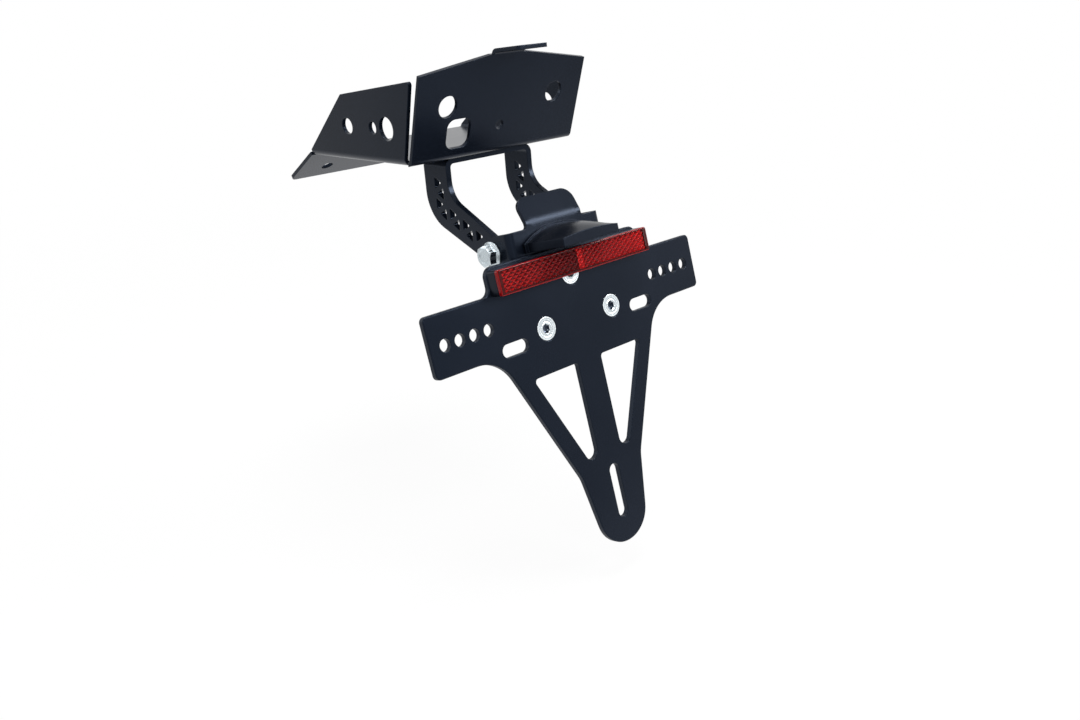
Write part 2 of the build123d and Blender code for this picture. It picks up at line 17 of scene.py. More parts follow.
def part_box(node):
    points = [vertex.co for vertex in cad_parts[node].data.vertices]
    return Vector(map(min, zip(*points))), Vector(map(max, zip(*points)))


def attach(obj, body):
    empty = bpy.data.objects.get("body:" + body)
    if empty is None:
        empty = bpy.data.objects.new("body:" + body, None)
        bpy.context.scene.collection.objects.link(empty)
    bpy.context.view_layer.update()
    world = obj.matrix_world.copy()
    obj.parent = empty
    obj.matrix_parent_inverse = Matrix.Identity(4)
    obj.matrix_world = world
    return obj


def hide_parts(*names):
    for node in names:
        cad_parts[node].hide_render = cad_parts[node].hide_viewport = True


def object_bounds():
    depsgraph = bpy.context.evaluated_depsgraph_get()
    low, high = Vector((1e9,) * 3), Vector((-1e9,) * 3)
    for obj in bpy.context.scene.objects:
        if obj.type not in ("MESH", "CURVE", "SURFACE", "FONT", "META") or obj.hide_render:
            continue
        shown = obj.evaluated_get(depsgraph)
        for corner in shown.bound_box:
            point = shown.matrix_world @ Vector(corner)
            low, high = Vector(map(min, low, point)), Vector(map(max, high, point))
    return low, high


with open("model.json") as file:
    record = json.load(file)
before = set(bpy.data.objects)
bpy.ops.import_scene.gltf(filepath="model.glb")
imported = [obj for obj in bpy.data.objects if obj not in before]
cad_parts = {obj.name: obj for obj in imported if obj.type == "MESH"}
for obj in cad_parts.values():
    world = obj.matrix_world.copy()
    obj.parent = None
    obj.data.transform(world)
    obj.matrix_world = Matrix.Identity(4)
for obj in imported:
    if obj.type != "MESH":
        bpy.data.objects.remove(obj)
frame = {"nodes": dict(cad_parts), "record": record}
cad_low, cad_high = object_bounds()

MM = 0.001
scene = bpy.context.scene
print("CAD box from", tuple(cad_low), "to", tuple(cad_high))

# %% [markdown]
# ## The camera
# The object was seen from behind, from its left and from above. A constraint could aim the camera at
# the object, but it leaves no say over roll. So the camera is placed by its eye point, its heading,
# its pitch and a trace of roll. The picture is 1080 by 720, and a sensor that is fitted across its
# width keeps the lens true.

# %% Camera
EYE = Vector((-0.31473, -0.48719, 0.12317))
HEADING = radians(42.526)
PITCH = radians(24.465)
ROLL = radians(-0.392)
SENSOR_WIDTH = 36.0
LENS = 31.732
CLIP_START = 0.01

camera_data = bpy.data.cameras.new("camera")
camera_data.sensor_fit = "HORIZONTAL"
camera_data.sensor_width = SENSOR_WIDTH
camera_data.lens = LENS
camera_data.clip_start = CLIP_START
camera = bpy.data.objects.new("camera", camera_data)
scene.collection.objects.link(camera)
camera.location = EYE
heading = Matrix.Rotation(-HEADING, 3, "Z")
pitch = Matrix.Rotation(pi / 2 - PITCH, 3, "X")
roll = Matrix.Rotation(ROLL, 3, "Z")
camera.rotation_euler = (heading @ pitch @ roll).to_euler()
scene.camera = camera
print("camera at", tuple(EYE), "with a lens of", LENS, "mm")

# %% [markdown]
# ## Helpers for node trees
# The light, the floor and every finish are node trees. In the editor a tree is drawn by hand. In a
# script the same steps come back: add a node, set its constants, link its inputs. These helpers do
# them and give back the socket with the result, so a tree can be written like a sum.

# %% Values and masks
def feed(tree, socket, value):
    """Links a socket to another socket, or sets it to a constant."""
    if isinstance(value, bpy.types.NodeSocket):
        tree.links.new(value, socket)
    else:
        socket.default_value = value


def math_node(tree, operation, *values):
    """A Math node on sockets or plain numbers."""
    node = tree.nodes.new("ShaderNodeMath")
    node.operation = operation
    for socket, value in zip(node.inputs, values):
        feed(tree, socket, value)
    return node.outputs[0]


def map_node(tree, value, source, target, smooth=False):
    """Maps a value from one range to another, along a line or a smooth curve."""
    node = tree.nodes.new("ShaderNodeMapRange")
    if smooth:
        node.interpolation_type = "SMOOTHSTEP"
    feed(tree, node.inputs["Value"], value)
    for socket, bound in zip(("From Min", "From Max", "To Min", "To Max"), (*source, *target)):
        feed(tree, node.inputs[socket], bound)
    return node.outputs["Result"]


def noise_node(tree, vector, scale, detail=2.0):
    """Noise between 0 and 1 on given coordinates."""
    node = tree.nodes.new("ShaderNodeTexNoise")
    feed(tree, node.inputs["Vector"], vector)
    feed(tree, node.inputs["Scale"], scale)
    feed(tree, node.inputs["Detail"], detail)
    return node.outputs["Fac"]


print("value helpers:", [step.__name__ for step in (feed, math_node, map_node, noise_node)])

# %% Colours and shaders
COLOUR_A = 6
COLOUR_B = 7
COLOUR_RESULT = 2


def mix_colour(tree, mask, first, second):
    """Blends two colours, sockets or constants, by a mask."""
    node = tree.nodes.new("ShaderNodeMix")
    node.data_type = "RGBA"
    feed(tree, node.inputs["Factor"], mask)
    feed(tree, node.inputs[COLOUR_A], first)
    feed(tree, node.inputs[COLOUR_B], second)
    return node.outputs[COLOUR_RESULT]


def mix_shader(tree, mask, first, second):
    """Blends two shaders by a mask."""
    node = tree.nodes.new("ShaderNodeMixShader")
    for socket, value in zip(node.inputs, (mask, first, second)):
        feed(tree, socket, value)
    return node.outputs[0]


print("blending helpers:", mix_colour.__name__, mix_shader.__name__)

# %% Coordinates
def object_place(tree):
    """The object's own coordinates, in metres."""
    return tree.nodes.new("ShaderNodeTexCoord").outputs["Object"]


def split(tree, vector):
    """The X, Y and Z of a vector."""
    node = tree.nodes.new("ShaderNodeSeparateXYZ")
    feed(tree, node.inputs[0], vector)
    return node.outputs


def length_of(tree, vector):
    """The length of a vector."""
    node = tree.nodes.new("ShaderNodeVectorMath")
    node.operation = "LENGTH"
    feed(tree, node.inputs[0], vector)
    return node.outputs["Value"]


print("place helpers:", [step.__name__ for step in (object_place, split, length_of)])

# %% [markdown]
# ## The room
# A gloss black coat is seen mostly by what it mirrors, so the room around it matters as much as the
# lamps. An even white world is the simple way, but it turns every black face grey. This room is white
# where the camera sees it, and dimmer as a light. In a mirror it is white ahead of the object, and
# falls off behind it, most of all high up.

# %% Room
WORLD_LIGHT = 0.5
ROOM_LOW = 0.78
ROOM_HIGH = 0.3
ROOM_RISE = (0.15, 0.45)
ROOM_BEHIND = (-0.9, 0.0)

scene.view_settings.view_transform = "Standard"
world = bpy.data.worlds.new("studio")
scene.world = world
world.use_nodes = True
tree = world.node_tree
tree.nodes.clear()
rays = tree.nodes.new("ShaderNodeLightPath").outputs
direction = split(tree, tree.nodes.new("ShaderNodeTexCoord").outputs["Generated"])
behind = map_node(tree, direction["Z"], ROOM_RISE, (ROOM_LOW, ROOM_HIGH), smooth=True)
mirror = map_node(tree, direction["Y"], ROOM_BEHIND, (behind, 1.0), smooth=True)
soft = tree.nodes.new("ShaderNodeBackground")
soft.inputs["Strength"].default_value = WORLD_LIGHT
white = tree.nodes.new("ShaderNodeBackground")
white.inputs["Color"].default_value = (1, 1, 1, 1)
brightness = math_node(tree, "MAXIMUM", rays["Is Camera Ray"], mirror)
feed(tree, white.inputs["Strength"], brightness)
seen = math_node(tree, "MAXIMUM", rays["Is Camera Ray"], rays["Is Glossy Ray"])
seen = math_node(tree, "MAXIMUM", seen, rays["Is Transmission Ray"])
room = mix_shader(tree, seen, soft.outputs[0], white.outputs[0])
output = tree.nodes.new("ShaderNodeOutputWorld")
feed(tree, output.inputs["Surface"], room)
print("room light", WORLD_LIGHT)

# %% [markdown]
# ## The floor
# The object is pictured on white paper with a faint shadow. A shadow catcher would leave the paper
# out of its reflections, so the floor is a real disc. It is matt and catches the shadow, and where
# it is seen or mirrored it is mixed with a white glow, which makes it white without more light on the
# object. It lies a little below the tail, which swings lower as the holder tilts. From below it is
# clear, so the underside of the object can be looked at.

# %% Floor disc
FLOOR_DROP = 0.016
FLOOR_RADIUS = 6.0
FLOOR_SIDES = 96

floor_mesh = bpy.data.meshes.new("floor")
bm = bmesh.new()
bmesh.ops.create_circle(bm, cap_ends=True, segments=FLOOR_SIDES, radius=FLOOR_RADIUS)
bmesh.ops.translate(bm, verts=bm.verts, vec=(0, 0, cad_low[2] - FLOOR_DROP))
bm.to_mesh(floor_mesh)
bm.free()
floor = bpy.data.objects.new("floor", floor_mesh)
scene.collection.objects.link(floor)
print("floor at", round(cad_low[2] - FLOOR_DROP, 4))

# %% Floor paper
FLOOR_GLOW = 0.94
MIRROR_FAR = 0.6
FADE = (0.2, 0.8)
PAPER_WHITE = (0.9, 0.9, 0.9, 1)

paper = bpy.data.materials.new("floor_paper")
paper.use_nodes = True
tree = paper.node_tree
tree.nodes.clear()
rays = tree.nodes.new("ShaderNodeLightPath").outputs
distance = length_of(tree, object_place(tree))
matt = tree.nodes.new("ShaderNodeBsdfDiffuse")
matt.inputs["Color"].default_value = PAPER_WHITE
glow = tree.nodes.new("ShaderNodeEmission")
glow.inputs["Color"].default_value = (1, 1, 1, 1)
pool = map_node(tree, distance, FADE, (1.0, MIRROR_FAR), smooth=True)
feed(tree, glow.inputs["Strength"], math_node(tree, "MAXIMUM", rays["Is Camera Ray"], pool))
fade = map_node(tree, distance, FADE, (FLOOR_GLOW, 1.0), smooth=True)
seen = math_node(tree, "MULTIPLY", rays["Is Camera Ray"], fade)
mirrored = math_node(tree, "MAXIMUM", rays["Is Glossy Ray"], rays["Is Transmission Ray"])
share = math_node(tree, "MAXIMUM", seen, mirrored)
from_above = mix_shader(tree, share, matt.outputs[0], glow.outputs[0])
from_below = tree.nodes.new("ShaderNodeBsdfTransparent").outputs[0]
underside = tree.nodes.new("ShaderNodeNewGeometry").outputs["Backfacing"]
output = tree.nodes.new("ShaderNodeOutputMaterial")
feed(tree, output.inputs["Surface"], mix_shader(tree, underside, from_above, from_below))
floor_mesh.materials.append(paper)
print("floor finish", paper.name, "with", len(tree.nodes), "nodes")

# %% [markdown]
# ## The lamps
# Studio lamps in wide cloth boxes draw quiet bands of light along the bends of a sheet, where a bare
# bulb makes hard glints and hard shadows. An area lamp is such a box. One hangs above the object, one
# stands ahead of it on the left, and two stand behind it, one on each side.

# %% Lamps
MIDDLE = Vector((0, -0.12, -0.04))


def soft_lamp(name, place, size, watts):
    """A square soft lamp at a place, turned towards the middle of the object."""
    data = bpy.data.lights.new(name, "AREA")
    data.shape = "SQUARE"
    data.size = size
    data.energy = watts
    lamp = bpy.data.objects.new(name, data)
    lamp.location = place
    lamp.rotation_euler = (MIDDLE - Vector(place)).to_track_quat("-Z", "Y").to_euler()
    scene.collection.objects.link(lamp)


soft_lamp("top_lamp", place=(0.1, -0.1, 1.0), size=0.45, watts=9.0)
soft_lamp("ahead_lamp", place=(-0.9, 0.9, 0.3), size=0.5, watts=2.0)
soft_lamp("left_lamp", place=(-0.5, -1.2, 0.7), size=0.5, watts=4.0)
soft_lamp("right_lamp", place=(0.75, -0.9, 0.55), size=0.4, watts=7.0)

# %% [markdown]
# ## Node groups for the finishes
# Two effects come back in several finishes. A sprayed or moulded skin has a fine grain, soft edges
# and slow changes of tone. A turned metal face has rings around its axis. They could be drawn again
# in each material, but then a change has to be made many times. So each effect is built once as a
# node group with named inputs, and every finish sets its own values on it.

# %% Group helpers
FLOAT = "NodeSocketFloat"
VECTOR = "NodeSocketVector"
EDGE_SAMPLES = 6


def new_group(name, inputs, outputs):
    """A shader node group, with the sockets inside it to read from and those to feed."""
    group = bpy.data.node_groups.new(name, "ShaderNodeTree")
    for socket, kind in inputs.items():
        group.interface.new_socket(name=socket, in_out="INPUT", socket_type=kind)
    for socket, kind in outputs.items():
        group.interface.new_socket(name=socket, in_out="OUTPUT", socket_type=kind)
    return group, group.nodes.new("NodeGroupInput").outputs, group.nodes.new("NodeGroupOutput").inputs


def bump_node(tree, height, depth, edge=None):
    """A normal that follows a height, on softened edges where an edge radius is given."""
    bump = tree.nodes.new("ShaderNodeBump")
    feed(tree, bump.inputs["Height"], height)
    feed(tree, bump.inputs["Distance"], depth)
    if edge is not None:
        soft_edge = tree.nodes.new("ShaderNodeBevel")
        soft_edge.samples = EDGE_SAMPLES
        feed(tree, soft_edge.inputs["Radius"], edge)
        feed(tree, bump.inputs["Normal"], soft_edge.outputs["Normal"])
    return bump.outputs["Normal"]


print("soft edges take", EDGE_SAMPLES, "samples")

# %% Skin group
CLOUD_SCALE = 22.0
CLOUD_DETAIL = 3.0

skin, given, result = new_group(
    "coated_skin",
    {"Vector": VECTOR, "Grain Scale": FLOAT, "Grain Depth": FLOAT, "Edge Radius": FLOAT},
    {"Normal": VECTOR, "Cloud": FLOAT, "Grain": FLOAT},
)
grain = noise_node(skin, given["Vector"], given["Grain Scale"])
feed(skin, result["Cloud"], noise_node(skin, given["Vector"], CLOUD_SCALE, CLOUD_DETAIL))
feed(skin, result["Grain"], grain)
feed(skin, result["Normal"], bump_node(skin, grain, given["Grain Depth"], given["Edge Radius"]))
print("group", skin.name, "with", len(skin.nodes), "nodes")

# %% Ring group
WOBBLE_SCALE = 1.6

rings, given, result = new_group(
    "turned_rings",
    {"Vector": VECTOR, "Pitch": FLOAT, "Depth": FLOAT, "Edge Radius": FLOAT},
    {"Normal": VECTOR, "Rings": FLOAT, "Cloud": FLOAT, "Radius": FLOAT},
)
flatten = rings.nodes.new("ShaderNodeVectorMath")
flatten.operation = "MULTIPLY"
flatten.inputs[1].default_value = (1, 1, 0)
feed(rings, flatten.inputs[0], given["Vector"])
radius = length_of(rings, flatten.outputs["Vector"])
wobble = noise_node(rings, given["Vector"], WOBBLE_SCALE)
turns = math_node(rings, "ADD", math_node(rings, "DIVIDE", radius, given["Pitch"]), wobble)
wave = math_node(rings, "SINE", math_node(rings, "MULTIPLY", turns, 2 * pi))
height = math_node(rings, "MULTIPLY_ADD", wave, 0.5, 0.5)
feed(rings, result["Rings"], height)
feed(rings, result["Cloud"], wobble)
feed(rings, result["Radius"], radius)
feed(rings, result["Normal"], bump_node(rings, height, given["Depth"], given["Edge Radius"]))
print("group", rings.name, "with", len(rings.nodes), "nodes")

# %% [markdown]
# ## How a finish is put together
# A real finish is never one flat colour: its tone and its gloss change a little over the surface.
# Painting that by hand takes a picture for each piece, while a mask from a node fits any shape. So a
# finish starts from a plain shader whose constants are set on it directly, and masks from the groups
# then drive what changes: the colour, the roughness and the normal.

# %% Starting a finish
def new_finish(name, **constants):
    """A material with its shader, whose constant sockets are set by name."""
    finish = bpy.data.materials.new(name)
    finish.use_nodes = True
    shader = finish.node_tree.nodes["Principled BSDF"].inputs
    for socket, value in constants.items():
        shader[socket.replace("_", " ")].default_value = value
    return finish, finish.node_tree, shader


def use_group(tree, group, vector, **values):
    """Places a node group in a finish with its own values."""
    node = tree.nodes.new("ShaderNodeGroup")
    node.node_tree = group
    feed(tree, node.inputs["Vector"], vector)
    for socket, value in values.items():
        node.inputs[socket.replace("_", " ")].default_value = value
    return node


print("finish helpers:", new_finish.__name__, use_group.__name__)

# %% Driving a finish
MASK_RANGE = (0.3, 0.7)


def spread(tree, mask, low, high):
    """Stretches the middle of a noise mask over a range of values."""
    return map_node(tree, mask, MASK_RANGE, (low, high))


def tones(tree, mask, dark, light):
    """Blends two colours by a noise mask."""
    return mix_colour(tree, spread(tree, mask, 0.0, 1.0), (*dark, 1), (*light, 1))


def seat_place(tree, seat):
    """Coordinates in millimetres around a seat, turned with it."""
    centred = tree.nodes.new("ShaderNodeMapping")
    centred.vector_type = "TEXTURE"
    centred.inputs["Location"].default_value = seat.translation
    centred.inputs["Rotation"].default_value = seat.to_euler()
    centred.inputs["Scale"].default_value = (MM, MM, MM)
    feed(tree, centred.inputs["Vector"], object_place(tree))
    return centred.outputs["Vector"]


print("masks are read between", MASK_RANGE)

# %% [markdown]
# ## Powder coat and moulded plastic
# The sheets are powder coated: a blue-black skin with a slight orange-peel grain and a satin gloss.
# The lamp housing and the reflector's block are moulded plastic, a little duller and with a finer
# grain. Both could be a plain dark gloss, but then wide faces look like card. One function makes both
# skins, because only their values differ.

# %% Skins
EDGE_SOFT = 0.0006


def skin_finish(name, dark, light, rough, grain, depth, edge, gloss, tint):
    """A black skin with grain, soft edges and slow changes of tone and roughness."""
    finish, tree, shader = new_finish(name, Specular_IOR_Level=gloss, Specular_Tint=(*tint, 1))
    group = use_group(
        tree, skin, object_place(tree), Grain_Scale=grain, Grain_Depth=depth, Edge_Radius=edge
    )
    group.name = "skin"
    feed(tree, shader["Base Color"], tones(tree, group.outputs["Cloud"], dark, light))
    feed(tree, shader["Roughness"], spread(tree, group.outputs["Cloud"], *rough))
    feed(tree, shader["Normal"], group.outputs["Normal"])
    return finish


powder_coat = skin_finish(
    "powder_coat", dark=(0.003, 0.0048, 0.009), light=(0.0045, 0.0065, 0.0115), rough=(0.2, 0.26),
    grain=1300.0, depth=0.000016, edge=EDGE_SOFT, gloss=0.24, tint=(0.52, 0.68, 1.0),
)
moulded_black = skin_finish(
    "moulded_black", dark=(0.0025, 0.0035, 0.006), light=(0.004, 0.005, 0.008), rough=(0.24, 0.3),
    grain=2200.0, depth=0.00001, edge=0.0005, gloss=0.2, tint=(0.48, 0.65, 1.0),
)
print("skins:", powder_coat.name, moulded_black.name)

# %% [markdown]
# ## Zinc plate
# Bolts and screws are bright zinc plate over turned steel. The turning leaves faint rings around each
# axis, and the plating is mottled. One finish for all would put every ring around the origin, so each
# piece has its own copy, with coordinates around its own seat. A hex socket holds little light, so it
# gets painted shade: a dark tone below its edge.

# %% Zinc plate on turned pieces
# The socket's dark tone below this depth is painted shade.
SOCKET_SHADE_DEPTH = -0.45
SOCKET_PAINTED_SHADE = (0.1, 0.12, 0.16, 1)
RING_SHARE = 0.4
ZINC_EDGE = 0.0002
ZINC_ROUGH = (0.18, 0.32)


def zinc_finish(name, seat, dark, light, pitch, depth, shade_radius=0.0):
    """Zinc plate with turning rings around a piece's axis, and painted shade in its socket if it has
    one.
    """
    finish, tree, shader = new_finish(name, Metallic=1.0)
    place = seat_place(tree, seat)
    group = use_group(tree, rings, place, Pitch=pitch, Depth=depth, Edge_Radius=ZINC_EDGE)
    cloudy = math_node(tree, "MULTIPLY", group.outputs["Cloud"], 1 - RING_SHARE)
    mottled = math_node(tree, "MULTIPLY_ADD", group.outputs["Rings"], RING_SHARE, cloudy)
    # Painted shade in the socket: a dark tone below its edge, near the axis.
    deep = math_node(tree, "LESS_THAN", split(tree, place)["Z"], SOCKET_SHADE_DEPTH)
    near = math_node(tree, "LESS_THAN", group.outputs["Radius"], shade_radius)
    painted_socket_shade = math_node(tree, "MULTIPLY", deep, near)
    plated = mix_colour(tree, painted_socket_shade, tones(tree, mottled, dark, light), SOCKET_PAINTED_SHADE)
    feed(tree, shader["Base Color"], plated)
    feed(tree, shader["Roughness"], spread(tree, group.outputs["Rings"], *ZINC_ROUGH))
    feed(tree, shader["Normal"], group.outputs["Normal"])
    return finish


print("zinc is", ZINC_ROUGH, "rough")

# %% [markdown]
# ## Seats for the fasteners
# Every fastener is modelled standing on the origin, along Z, and is then moved to its seat. The seats
# could be typed in from the CAD model, but read from the boxes of its nodes they follow a change of
# size. A plate screw's rim is a tilted disc, so its centre is found from the box by taking off the
# rim's radius along the plate's own up direction.

# %% Plate directions and seats
across = Vector((1, 0, 0))
mounts = {row["name"]: row for row in frame["record"]["mounts"]}
plate_out = Vector(mounts["number_plate_bolts"]["axis"]).normalized()
plate_up = plate_out.cross(across)


def seat_matrix(place, side, axis):
    """The matrix that moves a piece modelled along Z to a place, with its X turned to a side."""
    turn = Matrix((side, axis.cross(side), axis)).transposed()
    return Matrix.Translation(place) @ turn.to_4x4()


def rim_centre(node):
    """The centre of a fastener's rim, whose disc lies square to the plate."""
    low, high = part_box(node)
    rim = (high.x - low.x) / 2
    return Vector(((low.x + high.x) / 2, low.y + rim * plate_out.z, high.z + rim * plate_out.y))


print("plate faces", tuple(round(v, 4) for v in plate_out))

# %% [markdown]
# ## Turned and hexagonal shapes
# Fasteners are turned on a lathe from round or hexagonal bar, and the shapes are made in the same
# way. A cylinder primitive has no profile to shape, so a turned solid starts as half of its outline
# and is spun once around Z. A hexagonal bar is a six-sided circle that is drawn out.

# %% Bars
RING_STEPS = 48
WELD = 1e-7


def as_mesh(bm):
    """Turns a bmesh into a mesh and frees it."""
    mesh = bpy.data.meshes.new("shape")
    bm.to_mesh(mesh)
    bm.free()
    return mesh


def spun(points):
    """A turned solid: a profile of radius and height, in millimetres, spun once around Z."""
    bm = bmesh.new()
    verts = [bm.verts.new((radius * MM, 0, height * MM)) for radius, height in points]
    edges = [bm.edges.new(pair) for pair in zip(verts, verts[1:])]
    bmesh.ops.spin(
        bm, geom=verts + edges, cent=(0, 0, 0), axis=(0, 0, 1), dvec=(0, 0, 0),
        angle=2 * pi, steps=RING_STEPS, use_merge=True, use_duplicate=False,
    )
    bmesh.ops.remove_doubles(bm, verts=bm.verts, dist=WELD)
    bmesh.ops.recalc_face_normals(bm, faces=bm.faces)
    return as_mesh(bm)


def hexagon(width, low, high, turn=0.0):
    """A hexagonal bar, by its width across flats and its two heights in millimetres."""
    bm = bmesh.new()
    bmesh.ops.create_circle(bm, cap_ends=True, segments=6, radius=width / sqrt(3) * MM)
    bmesh.ops.rotate(bm, verts=bm.verts, matrix=Matrix.Rotation(turn, 3, "Z"))
    bmesh.ops.translate(bm, verts=bm.verts, vec=(0, 0, low * MM))
    grown = bmesh.ops.extrude_face_region(bm, geom=bm.faces[:])["geom"]
    top = [item for item in grown if isinstance(item, bmesh.types.BMVert)]
    bmesh.ops.translate(bm, verts=top, vec=(0, 0, (high - low) * MM))
    bmesh.ops.recalc_face_normals(bm, faces=bm.faces)
    return as_mesh(bm)


print("turned shapes have", RING_STEPS, "sides")

# %% [markdown]
# ## Cutting and joining
# A hex head is a bar that was cut by a turning tool, and a socket is pressed into a turned head. The
# lines where a cone meets a flat are curved, and hard to model point by point. A Boolean modifier
# finds them. It leaves slivers where edges nearly meet, so its result is cleaned: close points are
# merged, faces that lie flat are joined, and many-sided faces are cut into triangles.

# %% Boolean
SLIVER = 2e-6
FLAT_ANGLE = radians(0.2)


def without_slivers(mesh):
    """Merges close points, joins flat faces and triangulates many-sided ones."""
    bm = bmesh.new()
    bm.from_mesh(mesh)
    bmesh.ops.remove_doubles(bm, verts=bm.verts, dist=SLIVER)
    bmesh.ops.dissolve_degenerate(bm, edges=bm.edges, dist=SLIVER)
    bmesh.ops.dissolve_limit(bm, angle_limit=FLAT_ANGLE, verts=bm.verts, edges=bm.edges)
    bmesh.ops.triangulate(bm, faces=[face for face in bm.faces if len(face.verts) > 4])
    bm.to_mesh(mesh)
    bm.free()
    return mesh


def combine(kept, other, operation):
    """Unites, cuts or intersects two meshes and gives the new mesh."""
    pair = [bpy.data.objects.new("shape", mesh) for mesh in (kept, other)]
    for shape in pair:
        scene.collection.objects.link(shape)
    boolean = pair[0].modifiers.new("boolean", "BOOLEAN")
    boolean.solver = "EXACT"
    boolean.operation = operation
    boolean.object = pair[1]
    depsgraph = bpy.context.evaluated_depsgraph_get()
    result = bpy.data.meshes.new_from_object(pair[0].evaluated_get(depsgraph))
    for shape in pair:
        bpy.data.objects.remove(shape)
    return without_slivers(result)


print("points closer than", SLIVER, "m are merged")

# %% [markdown]
# ## Adding a piece
# Each new piece rides on the plate carrier and hides the CAD nodes that it stands for. A smooth piece
# with large flat faces shades badly, because the small faces at its edges bend the normals of the
# large ones. Marking sharp edges helps, and a modifier that weights normals by area keeps the large
# faces flat.

# %% Piece
SHARP_ANGLE = radians(32)


def add_piece(name, mesh, finish, slot, seat, *nodes):
    """Puts a mesh on its seat as a piece of the plate carrier that stands for CAD nodes."""
    mesh.name = name
    mesh.transform(seat)
    mesh.shade_smooth()
    mesh.set_sharp_from_angle(angle=SHARP_ANGLE)
    mesh.materials.clear()
    mesh.materials.append(finish)
    piece = bpy.data.objects.new(name, mesh)
    scene.collection.objects.link(piece)
    weighted = piece.modifiers.new("weighted_normals", "WEIGHTED_NORMAL")
    weighted.keep_sharp = True
    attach(piece, "plate_carrier")
    if nodes:
        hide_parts(*nodes)
    print(name, "has", len(mesh.polygons), "faces")
    return piece


# %% [markdown]
# ## Threads
# A thread is a ridge that winds around its bar. A bump could paint it, but the ends of the bolts are
# seen from the side, so it is modelled. One small profile is spun around the axis and climbs by one
# pitch each turn, which is what the spin operator's step vector is for. The two open ends are then
# closed, so the ridge is a solid that overlaps the core of the bar.

# %% Thread
THREAD_STEPS = 20
THREAD_FOOT = 0.46
THREAD_LAND = 0.06
THREAD_SINK = 0.15


def add_thread(mesh, crest, root, pitch, low, high):
    """Winds a ridge around a bar between two heights, in millimetres, and adds it to the mesh."""
    bm = bmesh.new()
    inside = root - THREAD_SINK
    foot = THREAD_FOOT * pitch
    land = THREAD_LAND * pitch
    profile = ((inside, low - foot), (crest, low - land), (crest, low + land), (inside, low + foot))
    verts = [bm.verts.new((radius * MM, 0, height * MM)) for radius, height in profile]
    edges = [bm.edges.new((verts[i - 1], verts[i])) for i in range(len(verts))]
    steps = int((high - low) / pitch * THREAD_STEPS)
    bmesh.ops.spin(
        bm, geom=verts + edges, cent=(0, 0, 0), axis=(0, 0, 1),
        dvec=(0, 0, pitch * MM / THREAD_STEPS), angle=2 * pi * steps / THREAD_STEPS,
        steps=steps, use_merge=False, use_duplicate=False,
    )
    bmesh.ops.holes_fill(bm, edges=bm.edges, sides=len(verts))
    bmesh.ops.recalc_face_normals(bm, faces=bm.faces)
    bm.from_mesh(mesh)
    bm.to_mesh(mesh)
    bm.free()
    return mesh


print("a turn of thread has", THREAD_STEPS, "steps")

# %% Threaded shank
M6_CREST = 2.98
M6_ROOT = 2.5
M6_PITCH = 1.0
RUN_OUT = 0.4
POINT_HIGH = 0.6
POINT_WIDE = 0.5
THREAD_START = 1.2


def shank_profile(plain, length):
    """The side and the point of a shank, plain at first and then as thin as its thread's root."""
    return [
        (M6_CREST, -plain), (M6_ROOT, -plain - RUN_OUT), (M6_ROOT, -length + POINT_HIGH),
        (M6_ROOT - POINT_WIDE, -length), (0, -length),
    ]


def thread_shank(mesh, plain, length):
    """Winds the thread of a shank from near its point to its plain stretch."""
    low = -length + THREAD_START
    high = -plain - RUN_OUT / 2
    return add_thread(mesh, M6_CREST, M6_ROOT, M6_PITCH, low, high)


print("shanks are", 2 * M6_CREST, "mm across, with a pitch of", M6_PITCH, "mm")

# %% [markdown]
# ## Pivot bolts
# The plate carrier tilts on two hex flange bolts, one through each ear. A hex head is a hexagonal
# bar whose crown was turned. A bevel on the hexagon would chamfer its flats as well, so it is made
# as on the lathe: the hexagon is cut down to a turned shape with a chamfer around its rim and a
# shallow dish in its top. The flange and the shank are turned.

# %% Hex head and flange
CUT_PAST = 1.0
CROWN_SLOPE = tan(radians(30))
CROWN_CLEAR = 0.1
CROWN_SHARE = 0.47
DISH_SHARE = 0.78
DISH_FLOOR_SHARE = 0.66
FLANGE_ROUND = 0.2
FLANGE_RIM = 0.6


def chamfered_hexagon(width, height, dish, turn):
    """A hexagonal head whose crown has a turned chamfer and a shallow dish."""
    corner = width / sqrt(3) + CROWN_CLEAR
    rim = CROWN_SHARE * width
    shoulder = height - (corner - rim) * CROWN_SLOPE
    crown = spun([
        (0, -CUT_PAST), (corner, -CUT_PAST), (corner, shoulder), (rim, height),
        (DISH_SHARE * rim, height), (DISH_FLOOR_SHARE * rim, height - dish), (0, height - dish),
    ])
    return combine(hexagon(width, 0, height + CUT_PAST, turn), crown, "INTERSECT")


def flange_profile(flange):
    """The foot and the rim of a flange, by its width."""
    radius = flange / 2
    return [(0, 0), (radius - FLANGE_ROUND, 0), (radius, FLANGE_ROUND), (radius, FLANGE_RIM)]


print("flange rims are", FLANGE_RIM, "mm high")

# %% Hex flange bolt
PIVOT_HEX = 9.8
PIVOT_HEAD = 5.6
PIVOT_FLANGE = 13.4
PIVOT_DISH = 0.45
PIVOT_TURN = radians(12)
PIVOT_BEAD = 0.25
PIVOT_SKIRT = 1.7
PIVOT_NECK_SHARE = 0.53
PIVOT_PLAIN = 3.2
SHANK_SINK = 0.5


def flange_bolt(grip):
    """A hex flange bolt on its seat, with the shank below it."""
    head = chamfered_hexagon(PIVOT_HEX, PIVOT_HEAD, PIVOT_DISH, PIVOT_TURN)
    skirt = spun(flange_profile(PIVOT_FLANGE) + [
        (PIVOT_FLANGE / 2 - PIVOT_BEAD, FLANGE_RIM + PIVOT_BEAD),
        (PIVOT_NECK_SHARE * PIVOT_HEX, PIVOT_SKIRT), (0, PIVOT_SKIRT),
    ])
    shank = spun([(0, SHANK_SINK), (M6_CREST, SHANK_SINK)] + shank_profile(PIVOT_PLAIN, grip))
    bolt = combine(combine(head, skirt, "UNION"), shank, "UNION")
    return thread_shank(bolt, PIVOT_PLAIN, grip)


print("hex across flats", PIVOT_HEX, "mm, flange", PIVOT_FLANGE, "mm")

